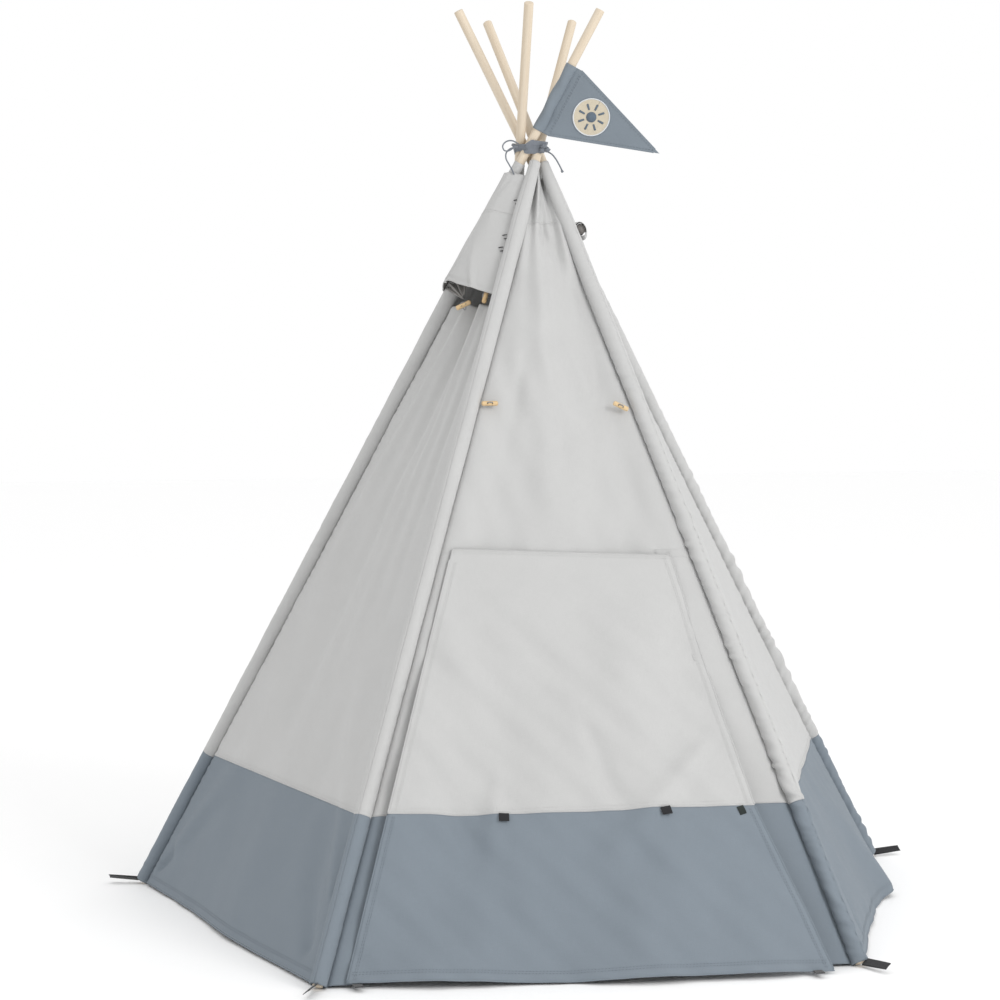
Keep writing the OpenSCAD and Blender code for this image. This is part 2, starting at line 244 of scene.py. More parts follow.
def sweep(name, path, radius, sides=10, flat=1.0):
    """A tube along path. flat squeezes it in its second direction."""
    path = np.asarray(path, float)
    rings, points = len(path), []
    side = None
    for i in range(rings):
        d = unit(path[min(i + 1, rings - 1)] - path[max(i - 1, 0)])
        if side is None:
            side = unit(np.cross(d, [0.01, 1, 0.02]))
        side = unit(side - d * (side @ d))
        other = np.cross(d, side)
        for s in range(sides):
            a = TAU * s / sides
            points.append(path[i] + radius * (side * math.cos(a) + other * flat * math.sin(a)))
    faces = grid_faces(rings, sides, wrap=True) + end_faces(rings, sides)
    uv = [(radius * TAU * s / sides, i * 0.004) for i in range(rings) for s in range(sides)]
    return mesh_object(name, points, faces, uv)


def end_faces(rings, sides):
    return [tuple(range(sides))[::-1], tuple((rings - 1) * sides + s for s in range(sides))]


def smooth_path(points, steps=8):
    """A Catmull-Rom curve through points."""
    p = [np.asarray(q, float) for q in points]
    out = []
    for i in range(len(p) - 1):
        a, b, c, d = p[max(i - 1, 0)], p[i], p[i + 1], p[min(i + 2, len(p) - 1)]
        for s in range(steps):
            u = s / steps
            out.append(0.5 * (2 * b + (c - a) * u + (2 * a - 5 * b + 4 * c - d) * u * u
                              + (3 * b - a - 3 * c + d) * u ** 3))
    out.append(p[-1])
    return np.array(out)


# ---- materials
def new_material(name):
    material = bpy.data.materials.new(name)
    material.use_nodes = True
    tree = material.node_tree
    return material, tree, tree.nodes["Principled BSDF"]


def maths(tree, operation, a, b=None):
    made = tree.nodes.new("ShaderNodeMath")
    made.operation = operation
    for place, value in enumerate((a, b)):
        if value is None:
            continue
        if isinstance(value, (int, float)):
            made.inputs[place].default_value = value
        else:
            tree.links.new(value, made.inputs[place])
    return made.outputs[0]


def settle(node, **values):
    """Give a node's inputs their constant values. An underscore stands for a space."""
    for name, value in values.items():
        node.inputs[name.replace("_", " ")].default_value = value


def colour_mix(tree, share, dark, light):
    mix = tree.nodes.new("ShaderNodeMix")
    mix.data_type = "RGBA"
    tree.links.new(share, mix.inputs["Factor"])
    settle(mix, A=(*dark, 1), B=(*light, 1))
    return mix.outputs["Result"]


def noise_at(tree, vector, scale, detail=3.0, rough=0.5):
    made = tree.nodes.new("ShaderNodeTexNoise")
    settle(made, Scale=scale, Detail=detail, Roughness=rough)
    tree.links.new(vector, made.inputs["Vector"])
    return made.outputs["Fac"]


def stretch(tree, low, high, value, to=(0.0, 1.0)):
    made = tree.nodes.new("ShaderNodeMapRange")
    settle(made, From_Min=low, From_Max=high, To_Min=to[0], To_Max=to[1])
    tree.links.new(value, made.inputs["Value"])
    return made.outputs["Result"]


def add_bump(tree, shader, height, strength, distance):
    bump = tree.nodes.new("ShaderNodeBump")
    settle(bump, Strength=strength, Distance=distance)
    tree.links.new(height, bump.inputs["Height"])
    tree.links.new(bump.outputs[0], shader.inputs["Normal"])


def weighted_sum(tree, *parts):
    """The sum of each value times its weight."""
    total = None
    for value, weight in parts:
        part = maths(tree, "MULTIPLY", value, weight)
        total = part if total is None else maths(tree, "ADD", total, part)
    return total


def cloth_material(name, colour, pitch=0.0011, contrast=0.10, sheen=0.25, coords="UV", weave_depth=0.00025):
    """Plain-woven canvas: crossing yarns, slubs, and a faint mottling. pitch is from yarn to yarn."""
    material, tree, shader = new_material(name)
    where = tree.nodes.new("ShaderNodeTexCoord").outputs[coords]
    split = tree.nodes.new("ShaderNodeSeparateXYZ")
    tree.links.new(where, split.inputs[0])
    yarns, slubs = [], []
    for axis, scale in enumerate(((1400, 60, 60), (60, 1400, 60))):
        yarns.append(maths(tree, "SINE", maths(tree, "MULTIPLY", split.outputs[axis], TAU / pitch)))
        mapping = tree.nodes.new("ShaderNodeMapping")
        settle(mapping, Scale=scale)
        tree.links.new(where, mapping.inputs["Vector"])
        slubs.append(noise_at(tree, mapping.outputs[0], 1.0, 2.0))
    weave = stretch(tree, -1, 1, maths(tree, "MULTIPLY", *yarns))
    slub = maths(tree, "ADD", *slubs)
    tone = weighted_sum(tree, (weave, 0.30), (slub, 0.28), (noise_at(tree, where, 9.0, 4.0, 0.6), 0.25))
    dark = tuple(c * (1 - contrast) for c in colour)
    light = tuple(min(1.0, c * (1 + contrast)) for c in colour)
    colour = colour_mix(tree, stretch(tree, 0.28, 0.82, tone), dark, light)
    tree.links.new(colour, shader.inputs["Base Color"])
    add_bump(tree, shader, maths(tree, "ADD", weave, maths(tree, "MULTIPLY", slub, 0.5)), 0.6, weave_depth)
    settle(shader, Roughness=0.85, Specular_IOR_Level=0.25, Sheen_Weight=sheen, Sheen_Roughness=0.5)
    return material


def wood_material(name, direction, pale, deep, grain=1.0):
    """Straight-grained pine: fine streaks and soft rings that run along direction."""
    material, tree, shader = new_material(name)
    where = tree.nodes.new("ShaderNodeTexCoord").outputs["Object"]
    dot, squeeze, added = (tree.nodes.new("ShaderNodeVectorMath") for _ in range(3))
    dot.operation = "DOT_PRODUCT"
    squeeze.operation = "SCALE"
    dot.inputs[1].default_value = squeeze.inputs[0].default_value = tuple(direction)
    tree.links.new(where, dot.inputs[0])
    # Nearly all of the way along the grain is taken out, so the noise is drawn out that way
    tree.links.new(maths(tree, "MULTIPLY", dot.outputs["Value"], -0.965), squeeze.inputs["Scale"])
    tree.links.new(where, added.inputs[0])
    tree.links.new(squeeze.outputs[0], added.inputs[1])
    lengthwise = added.outputs[0]
    streaks = noise_at(tree, lengthwise, 520.0 * grain, 3.0, 0.6)
    bands = noise_at(tree, lengthwise, 95.0 * grain, 2.0, 0.5)
    tint = noise_at(tree, lengthwise, 18.0, 2.0, 0.5)
    tone = weighted_sum(tree, (streaks, 0.35), (bands, 0.45), (tint, 0.35))
    tree.links.new(colour_mix(tree, stretch(tree, 0.42, 0.74, tone), pale, deep), shader.inputs["Base Color"])
    add_bump(tree, shader, streaks, 0.35, 0.0004)
    tree.links.new(stretch(tree, 0.3, 0.8, bands, (0.5, 0.66)), shader.inputs["Roughness"])
    settle(shader, Specular_IOR_Level=0.35)
    return material


def metal_material():
    material, tree, shader = new_material("ferrule metal")
    rubbed = noise_at(tree, tree.nodes.new("ShaderNodeTexCoord").outputs["Object"], 180.0, 4.0, 0.7)
    colour = colour_mix(tree, rubbed, (0.55, 0.55, 0.56), (0.78, 0.78, 0.79))
    tree.links.new(colour, shader.inputs["Base Color"])
    tree.links.new(stretch(tree, 0.3, 0.7, rubbed, (0.25, 0.45)), shader.inputs["Roughness"])
    settle(shader, Metallic=1.0)
    return material


LIGHT = (0.488, 0.488, 0.483)
SLATE = (0.194, 0.226, 0.258)
PINE_PALE = (0.67, 0.59, 0.48)
PINE_DEEP = (0.58, 0.48, 0.36)

light_cloth = cloth_material("light canvas", LIGHT)
slate_cloth = cloth_material("slate canvas", SLATE, sheen=0.06)
ribbon_cloth = cloth_material("tie ribbon", (0.17, 0.185, 0.21), pitch=0.0008, contrast=0.16)
light_thread = cloth_material("light thread", (0.50, 0.50, 0.49), pitch=0.0006, contrast=0.15)
slate_thread = cloth_material("slate thread", (0.13, 0.155, 0.185), pitch=0.0006, contrast=0.15)
webbing_cloth = cloth_material("black webbing", (0.014, 0.014, 0.016), pitch=0.0022, contrast=0.35,
                               coords="Object", weave_depth=0.0006)
label_cloth = cloth_material("label tape", (0.02, 0.026, 0.024), pitch=0.0007, contrast=0.3, coords="Object")
patch_cloth = cloth_material("patch twill", (0.56, 0.50, 0.39), pitch=0.0009, contrast=0.12)
patch_dark = cloth_material("patch embroidery", (0.115, 0.15, 0.19), pitch=0.0009, contrast=0.2)
patch_rim = cloth_material("patch rim", (0.66, 0.68, 0.70), pitch=0.0007, contrast=0.15)
# Dark cloth for the hood's inner faces, its folded-back corner and the rolled hood's inner turns: painted
# shade for the shadow inside them.
hood_painted_shade = cloth_material("hood painted shade", (0.20, 0.19, 0.18))
elastic_cord = cloth_material("elastic cord", (0.23, 0.24, 0.26), pitch=0.0009, contrast=0.25)
metal = metal_material()
CLOTHS = {"light_cloth": light_cloth, "slate_cloth": slate_cloth, "tie_ribbon": ribbon_cloth,
          "black_webbing": webbing_cloth, "patch_cloth": patch_cloth, "label_cloth": label_cloth}


def paint(made, *materials):
    made.data.materials.clear()
    for material in materials:
        made.data.materials.append(material)
    return made


def dress(made, body, slot_name, *materials):
    """Paint a finished piece with its slot's cloth or its own materials, and seat it on its body."""
    if materials or not made.data.materials:
        paint(made, *(materials or [CLOTHS[slot_name]]))
    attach(made, body)
    return made


# ---- camera, floor and light
CAMERA_PLACE = (-0.8225, -5.2614, 1.1658)
LOOK_AZIMUTH = 81.584
LOOK_PITCH = -3.2245
LOOK_ROLL = -0.3076
LENS_MM = 86.32
SENSOR_MM = 36
LENS_SHIFT = (-0.0060, 0.0019)


def make_camera():
    data = bpy.data.cameras.new("camera")
    camera = bpy.data.objects.new("camera", data)
    bpy.context.scene.collection.objects.link(camera)
    azimuth, pitch, roll = (math.radians(a) for a in (LOOK_AZIMUTH, LOOK_PITCH, LOOK_ROLL))
    camera.matrix_world = (Matrix.Translation(CAMERA_PLACE) @ Matrix.Rotation(azimuth - math.pi / 2, 4, "Z")
                           @ Matrix.Rotation(math.pi / 2 + pitch, 4, "X") @ Matrix.Rotation(roll, 4, "Z"))
    data.lens = LENS_MM
    data.sensor_width = SENSOR_MM
    data.shift_x, data.shift_y = LENS_SHIFT
    data.clip_end = 60
    bpy.context.scene.camera = camera


def area_light(name, place, target, size, power):
    data = bpy.data.lights.new(name, "AREA")
    data.shape = "DISK"
    data.size = size
    data.energy = power
    lamp = bpy.data.objects.new(name, data)
    lamp.location = place
    lamp.rotation_mode = "QUATERNION"
    lamp.rotation_quaternion = (Vector(target) - Vector(place)).to_track_quat("-Z", "Y")
    bpy.context.scene.collection.objects.link(lamp)


def make_studio():
    bpy.ops.mesh.primitive_plane_add(size=40, location=(0, 0, -0.0005))
    floor = bpy.context.object
    floor.name = "studio_floor"
    material, tree, shader = new_material("studio floor")
    settle(shader, Base_Color=(0.99, 0.99, 0.99, 1), Roughness=0.9)
    floor.data.materials.append(material)
    world = bpy.data.worlds.new("studio")
    world.use_nodes = True
    settle(world.node_tree.nodes["Background"], Color=(1, 1, 1, 1), Strength=1.0)
    bpy.context.scene.world = world
    bpy.context.scene.view_settings.view_transform = "Standard"
    area_light("key", (3.4, -5.2, 3.4), (0, 0, 0.8), 2.6, 150)


make_camera()
make_studio()


# ---- riding on the frame
# The left vent's toggle keeps to the left pole, and holds this share of its panel's top; the hold sets in
# between these two heights.
# follow_panel works this hold out but does not apply it.
VENT_HOLD = 0.62
VENT_HOLD_Z = (0.95, 1.22)


def follow_panel(made, k):
    """Panel k's cloth is baked where it stands; its share along the chord and the left vent's hold are worked
    out but not used. The last panel has no joint across it: it gets its own mesh and rides on its first pole.
    """
    a, b = POLES[k] + "_pole", POLES[(k + 1) % 5] + "_pole"
    if k == REAR_RIGHT:
        gather(made)
        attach(made, a)
        return
    tuple(on_pole(k, 0.5))
    tuple(on_pole(k + 1, 0.5))
    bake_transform(made)
    points = np.array([v.co[:] for v in made.data.vertices])
    share, held = chord_share(points, k), 0.0
    if k == LEFT:
        z = points[:, 2]
        held = VENT_HOLD * smoothstep(z, *VENT_HOLD_Z) * smoothstep(VENT_Z + 0.04 - z, 0, 0.03)


def chord_share(points, k):
    """Where each point lies from pole k (0) to the next pole (1), at its own height."""
    z = points[:, 2]
    a, b = on_pole(k, z), on_pole(k + 1, z)
    return np.einsum("ij,ij->i", points - a, b - a) / np.einsum("ij,ij->i", b - a, b - a)


def gather(made):
    """Gives a piece its own copy of its mesh."""
    if made.parent is None:
        bpy.context.view_layer.update()
    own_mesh(made)


# ---- stitching
def stitches(name, runs, thread, length=0.0042, gap=0.0024, radius=0.00045):
    """Little lozenges along each run of points; one mesh for them all."""
    points, faces, uv = [], [], []
    for run in runs:
        run = np.asarray(run, float)
        steps = np.linalg.norm(np.diff(run, axis=0), axis=1)
        at = np.concatenate([[0], np.cumsum(steps)])
        count = int(at[-1] // (length + gap))
        for n in range(count):
            s0 = n * (length + gap) + gap
            a, b = (np.array([np.interp(s, at, run[:, c]) for c in range(3)]) for s in (s0, s0 + length))
            d = unit(b - a)
            side = unit(np.cross(d, [0.3, 0.9, 0.3]))
            other = np.cross(d, side)
            base = len(points)
            ring = [radius * (side * math.cos(TAU * s / 4) + other * math.sin(TAU * s / 4)) for s in range(4)]
            points += [a, *(a + (b - a) * share + step for share in (0.25, 0.75) for step in ring), b]
            for s in range(4):
                e = (s + 1) % 4
                faces.append((base, base + 1 + e, base + 1 + s))
                faces.append((base + 1 + s, base + 1 + e, base + 5 + e, base + 5 + s))
                faces.append((base + 9, base + 5 + s, base + 5 + e))
            uv += [(0.001 * c, s0) for c in range(10)]
    return paint(mesh_object(name, points, faces, uv), thread)


# ---- relief of each cloth piece
HEM_KICK = (0.0, 0.032, 0.016, 0.014, 0.011)


def hem_kick(k, t, z):
    """How far the loose cloth kicks out, level with the ground, near its hem."""
    middle = np.sin(math.pi * np.clip(t, 0, 1)) ** 0.7
    wave = 1 + 0.55 * np.sin(TAU * (1.1 * t + 0.48))
    return HEM_KICK[k] * middle * wave * (1 - smoothstep(z, HEM_Z, 0.34))


# A fold has a start, an end (metres from the panel's middle line, and height), a spread, a depth
# and, in the front, the share of its run over which it sets in
FRONT_FOLDS = [
    ((0.010, 1.62), (-0.006, 1.42), 0.011, -0.012),
    ((-0.012, 1.49), (0.052, 1.33), 0.016, -0.011, 0.3),
    ((0.034, 1.52), (0.060, 1.20), 0.018, 0.009, 0.2),
    ((-0.030, 1.56), (-0.085, 1.10), 0.018, 0.008),
    ((0.05, 1.42), (0.15, 0.92), 0.028, -0.011, 0.25),
    ((-0.01, 1.40), (-0.03, 0.80), 0.030, 0.012, 0.25),
    ((-0.05, 1.22), (-0.16, 0.80), 0.026, -0.009, 0.3),
    ((0.10, 1.20), (0.05, 0.80), 0.028, -0.008, 0.3),
]


def front_relief(t, z):
    """Gathers under the tie, long soft folds, and slight slackness above the door."""
    x = (t - 0.5) * width(FRONT, z)
    fall = np.exp(-(COVER_Z + 0.03 - z) / 0.20)
    gathers = 0.0100 * fall * (np.cos(TAU * (2.1 * t + 0.12)) + 0.5 * np.cos(TAU * (4.3 * t + 0.4)))
    folds = sum(crease(x, z, *fold) for fold in FRONT_FOLDS)
    inside = smoothstep(t, 0, 0.2) * smoothstep(1 - t, 0, 0.2)
    slack = 0.0055 * swell(x, z, 0.17, 11, stretch=3.0) + 0.0018 * swell(x, z, 0.06, 12, stretch=2.0)
    return gathers + folds + slack * inside - 0.004 * np.sin(math.pi * np.clip(t, 0, 1))


def pucker(t, z, k, side, seed, amount=0.0016, reach=0.035, pitch=0.021):
    """Short gathers that run off a pocket seam."""
    away = (t if side == 0 else 1 - t) * width(k, z)
    wave = np.sin(TAU * (z / pitch + 0.9 * swell(z, 0 * z, 0.12, seed)) + 40 * away)
    return amount * np.exp(-away / reach) * wave


def side_relief(k, seed, folds=(), loose=1.0):
    """A side panel: hollowed between the poles, with upright soft folds."""
    def relief(t, z):
        x = (t - 0.5) * width(k, z)
        middle = np.sin(math.pi * np.clip(t, 0, 1))
        hollow = -0.012 * middle * smoothstep(z, 0.05, 0.6)
        drape = 0.0035 * loose * swell(t * 0.8, z, 0.22, seed, stretch=5.0) * middle
        soft = 0.0018 * swell(x, z, 0.10, seed + 1, stretch=2.5) * middle
        own = sum(crease(x, z, *fold) for fold in folds)
        return hollow + drape + soft + own + pucker(t, z, k, 0, seed + 2) + pucker(t, z, k, 1, seed + 3)
    return relief


RELIEF = {
    FRONT: front_relief,
    LEFT: side_relief(LEFT, 31, [
        ((-0.010, 1.31), (-0.22, 0.66), 0.024, 0.015),
        ((0.006, 1.31), (-0.08, 0.52), 0.022, -0.015),
        ((0.034, 1.31), (0.04, 0.55), 0.022, 0.015),
        ((0.062, 1.31), (0.16, 0.66), 0.018, -0.012),
        ((-0.40, 0.10), (-0.15, 0.42), 0.05, 0.014),
        ((-0.46, 0.05), (-0.20, 0.26), 0.03, -0.012),
        ((0.42, 0.06), (0.20, 0.36), 0.05, -0.012),
        ((0.44, 0.16), (0.10, 0.60), 0.04, 0.010),
    ], loose=1.6),
    RIGHT: side_relief(RIGHT, 47, [
        ((-0.05, 1.31), (-0.10, 0.80), 0.025, 0.011),
        ((0.05, 1.31), (0.08, 0.75), 0.028, -0.010),
        ((0.10, 0.02), (0.02, 0.36), 0.07, 0.016),
        ((-0.36, 0.05), (-0.20, 0.30), 0.05, -0.012),
    ], loose=1.5),
    REAR_RIGHT: side_relief(REAR_RIGHT, 59, [
        ((0.0, 1.56), (0.05, 1.05), 0.022, 0.009),
        ((-0.02, 1.56), (-0.12, 1.0), 0.024, -0.007),
        ((0.40, 0.05), (0.15, 0.42), 0.05, 0.010),
        ((-0.44, 0.05), (-0.20, 0.36), 0.05, -0.010),
    ], loose=1.6),
    REAR_LEFT: side_relief(REAR_LEFT, 73, [
        ((0.0, 1.56), (-0.05, 1.05), 0.022, 0.009),
        ((0.02, 1.56), (0.12, 1.0), 0.024, -0.007),
        ((-0.40, 0.05), (-0.12, 0.45), 0.05, 0.010),
        ((0.44, 0.05), (0.22, 0.34), 0.05, -0.010),
    ], loose=1.6),
}

def edge_share(k, z):
    """The share of a panel's width that its pocket covers; the cloth starts inside it."""
    return TUCK * sleeve_r(z) / width(k, z)


def groove(k, t, z):
    """The cloth is pulled in where it is sewn to a pocket."""
    away = np.minimum(t, 1 - t) * width(k, z) - sleeve_r(z)
    return 0.008 * np.exp(-np.maximum(away, 0) / 0.006)


def panel_point(k, t, z, lift=0.0):
    """Points of panel k's cloth, with its relief and its kick near the ground."""
    off = RELIEF[k](t, z) - groove(k, t, z) + lift
    return panel_xyz(k, t, z, off) + outer(hem_kick(k, t, z), OUTWARD[k])


def panel_surface(k, low, high, left=None, right=None):
    def surface(u, v):
        z = low + (high - low) * v
        a = edge_share(k, z) if left is None else left(z)
        b = 1 - edge_share(k, z) if right is None else right(z)
        t = a + (b - a) * u
        return panel_point(k, t, z)
    return surface


def run_on_panel(k, ts, zs, lift=0.0009):
    """A run of points lying on panel k's outer face."""
    ts, zs = np.broadcast_arrays(np.asarray(ts, float), np.asarray(zs, float))
    return panel_point(k, ts, zs, lift)


def declare_cloth(made):
    """Works out the piece's cut, its own width and length laid flat, with the length stretched to fit its
    area; nothing is done with it.
    """
    uv = np.zeros(len(made.data.loops) * 2)
    made.data.uv_layers[0].data.foreach_get("uv", uv)
    wide, tall = np.ptp(uv.reshape(-1, 2), axis=0)
    area = sum(p.area for p in made.data.polygons)
    tall = max(tall, area / wide)


def make_panel(cad_node, k, low, high, slot_name, rows, cols, left=None, right=None):
    panel = cloth_grid(cad_node + "_cloth", panel_surface(k, low, high, left, right), rows, cols)
    finish_panel(panel, cad_node, k, slot_name)


def finish_panel(made, cad_node, k, slot_name):
    paint(made, CLOTHS[slot_name])
    follow_panel(made, k)
    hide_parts(cad_node)
    declare_cloth(made)


def seam_lines(k, z, offsets, low=0.0, high=1.0):
    t = np.linspace(low, high, 160)
    return [run_on_panel(k, t, z + o) for o in offsets]


def edge_seam(k, side, low, high, inset=0.0035):
    """The seam that joins a panel to its pocket."""
    z = np.linspace(low, high, 200)
    t = (sleeve_r(z) + inset) / width(k, z)
    return run_on_panel(k, t if side == 0 else 1 - t, z)


def make_side(k, name, top):
    """A plain side: band, main cloth, and its seams. top is the height of the main cloth."""
    make_panel(f"{name}_band", k, HEM_Z, BAND_Z, "slate_cloth", 70, 190)
    make_panel(f"{name}_panel", k, BAND_Z, top, "light_cloth", 200, 150)
    for label, low, high, offsets, thread, slot_name in (
        ("stitching", BAND_Z, top, (0.004, 0.009), light_thread, "light_cloth"),
        ("band_stitching", HEM_Z, BAND_Z, (0.016, 0.020), slate_thread, "slate_cloth"),
    ):
        inset = float((sleeve_r(low) + 0.002) / width(k, low))
        runs = seam_lines(k, low, offsets, inset, 1 - inset)
        runs += [edge_seam(k, side, low, high) for side in (0, 1)]
        made = stitches(f"{name}_{label}", runs, thread)
        follow_panel(made, k)
    along_hem = run_on_panel(k, np.linspace(0.02, 0.98, 150), HEM_Z + 0.002, lift=0.0002)
    hem = paint(sweep(f"{name}_hem", along_hem, 0.0016, sides=8), slate_cloth)
    follow_panel(hem, k)


make_side(REAR_LEFT, "rear_left", COVER_Z)
make_side(REAR_RIGHT, "rear_right", COVER_Z)
make_side(LEFT, "left", VENT_Z)
make_side(RIGHT, "right", VENT_Z)


# ---- front
def doorway_corner(points):
    """The height and the distance from the front left pole of one end of the doorway's edge."""
    return float(points[:, 2].mean()), float((points[:, 0] - on_pole(FRONT, points[:, 2])[:, 0]).max())


STRIP = node_points("front_strip_left")
LOW_Z, LOW_X = doorway_corner(STRIP[STRIP[:, 2] < 0.5])
HIGH_Z, HIGH_X = doorway_corner(STRIP[STRIP[:, 2] > 0.5])


def strip_edge(z):
    """Share of the front's width from a pole to the doorway's edge, as the CAD strips have it."""
    slope = (HIGH_X - LOW_X) / (HIGH_Z - LOW_Z)
    return (LOW_X + slope * (z - LOW_Z)) / width(FRONT, z)


def behind_door(z):
    """The right strip's inner edge runs on a little behind the door."""
    return 1 - strip_edge(z) - 0.028 / width(FRONT, z)


def make_front():
    edges = {"left": {"right": strip_edge}, "right": {"left": behind_door}}
    make_panel("front_peak", FRONT, SEAM_Z, COVER_Z + 0.03, "light_cloth", 60, 70)
    make_panel("front_panel", FRONT, DOOR_Z - 0.018, SEAM_Z, "light_cloth", 220, 170)
    for side in edges:
        make_panel(f"front_strip_{side}", FRONT, BAND_Z, DOOR_Z, "light_cloth", 120, 24, **edges[side])
    for side in edges:
        make_panel(f"front_band_{side}", FRONT, HEM_Z, BAND_Z, "slate_cloth", 80, 24, **edges[side])
    runs = seam_lines(FRONT, SEAM_Z, (0.004,), 0.04, 0.96)
    runs += [edge_seam(FRONT, side, BAND_Z, COVER_Z) for side in (0, 1)]
    thread = stitches("front_stitching", runs, light_thread)
    follow_panel(thread, FRONT)


make_front()


# ---- pole pockets
def pole_axes(i):
    """Directions square to pole i: away from the tent, and round it."""
    start, direction = LINES[i]
    out = unit(start[:2] - CENTRE[:2])
    out = np.array([*out, 0.0])
    out = unit(out - direction * (out @ direction))
    return out, np.cross(direction, out)


def gathers(i, angle, z):
    """Cloth slack on a pocket. The two on the right are bunched along their poles."""
    bunched = {1: 1.0, 2: 0.9}.get(i, 0.22) * (0.25 + 0.75 * smoothstep(1.30 - z, 0.0, 0.5))
    slack = 0.5 + 0.5 * swell(z, 0 * z, 0.22, 200 + i)
    twist = angle * (2.0 if i % 2 else -2.0)
    lay = TAU * (z / 0.034 + 0.30 * swell(z, 0 * z, 0.10, 210 + i)) + twist
    ridge = (0.5 + 0.5 * np.sin(lay)) ** 2 * (0.6 + 0.4 * np.sin(angle * 2 + z * 31))
    fine = (0.5 + 0.5 * np.sin(lay * 1.7 + 2.0)) ** 2
    long_fold = 0.5 + 0.5 * np.sin(angle * 3 + 5 * swell(z, 0 * z, 0.5, 220 + i))
    return (bunched * (0.0046 * ridge * np.clip(slack, 0.15, 1.4) + 0.0010 * fine)
            + 0.0008 * long_fold - 0.0020 * bunched)


def sleeve_surface(i, low, high):
    out, side = pole_axes(i)

    def surface(u, v):
        z = low + (high - low) * v
        angle = TAU * u
        r = sleeve_r(z) - 0.0008 + gathers(i, angle, z) * smoothstep(SLEEVE_TOP_Z - z, 0, 0.08)
        ring = outer(np.cos(angle), out) + outer(np.sin(angle), side)
        return on_pole(i, z) + ring * np.maximum(r, SLEEVE_LEAST_R)[:, None]
    return surface


def make_sleeve(i):
    body = POLES[i] + "_pole"
    foot_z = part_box(POLES[i] + "_sleeve_band")[0].z + 0.006
    for node_name, low, high, slot_name in (
        (f"{POLES[i]}_sleeve", BAND_Z, SLEEVE_TOP_Z, "light_cloth"),
        (f"{POLES[i]}_sleeve_band", foot_z, BAND_Z, "slate_cloth"),
    ):
        rows = int((high - low) / 0.003)
        made = cloth_grid(node_name + "_cloth", sleeve_surface(i, low, high), rows, 41)
        dress(made, body, slot_name)
        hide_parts(node_name)
        declare_cloth(made)
    runs = []
    turn = np.linspace(0, 1, 60)
    for z in (BAND_Z + 0.006, SLEEVE_TOP_Z - 0.014, SLEEVE_TOP_Z - 0.018):
        ring = sleeve_surface(i, 0.0, z)(turn, 0 * turn + 1)
        centre = on_pole(i, z)
        runs.append(centre + (ring - centre) * 1.06)
    dress(stitches(f"{POLES[i]}_sleeve_stitching", runs, light_thread), body, "light_cloth")


for index in range(5):
    make_sleeve(index)


# ---- door
DOOR_LIFT_OFF = 0.0052


def door_share(z):
    """The share of the front's width at which the door starts."""
    return (strip_edge(z) * width(FRONT, z) - DOOR_LAP) / width(FRONT, z)


def door_kick(u, z):
    """The free bottom of the door stands forward, except at its left corner."""
    down = np.clip((DOOR_Z - z) / (DOOR_Z - HEM_Z), 0, 1)
    return 0.056 * down ** 1.7 * smoothstep(u, -0.05, 0.55)


# Start, end, spread and depth of the door's larger folds
DOOR_FOLDS = [
    ((-0.30, 0.80), (-0.18, 0.42), 0.035, 0.011),
    ((0.27, 0.78), (0.18, 0.36), 0.035, -0.011),
    ((0.30, 0.46), (-0.08, 0.10), 0.032, 0.014),
    ((0.00, 0.50), (0.16, 0.06), 0.030, -0.012),
    ((-0.32, 0.42), (-0.10, 0.04), 0.030, -0.012),
    ((-0.16, 0.40), (-0.22, 0.05), 0.030, 0.010),
]


def door_inset(z):
    """How far the door's right edge stands back towards the middle: most at the colour seam."""
    return np.interp(z, (HEM_Z, BAND_Z, DOOR_Z), (0.012, 0.046, 0.022))


def door_point(u, z, lift=0.0):
    share = door_share(z)
    t = share + (1 - 2 * share - door_inset(z) / width(FRONT, z)) * u
    x = (t - 0.5) * width(FRONT, z)
    down = np.clip((DOOR_Z - z) / (DOOR_Z - HEM_Z), 0, 1)
    loose = smoothstep(down, 0.0, 0.3)
    wave = loose * (0.0078 * swell(x - 0.5 * z, z, 0.27, 91, stretch=1.8)
                    + 0.0026 * swell(x + z, z, 0.09, 92, stretch=2.0))
    for fold in DOOR_FOLDS:
        wave = wave + crease(x, z, *fold, 0.3) * loose
    wave = wave + 0.004 * down ** 3 * np.sin(TAU * (1.6 * u + 0.1))
    return (panel_xyz(FRONT, t, z, DOOR_LIFT_OFF + lift + wave)
            + outer(door_kick(u, z), OUTWARD[FRONT]))


def door_top(u):
    """The door's top seam is a little higher at its left end."""
    return DOOR_Z + 0.006 - 0.020 * np.asarray(u)


def ride_door(made, slot_name):
    gather(made)
    return dress(made, "door", slot_name)


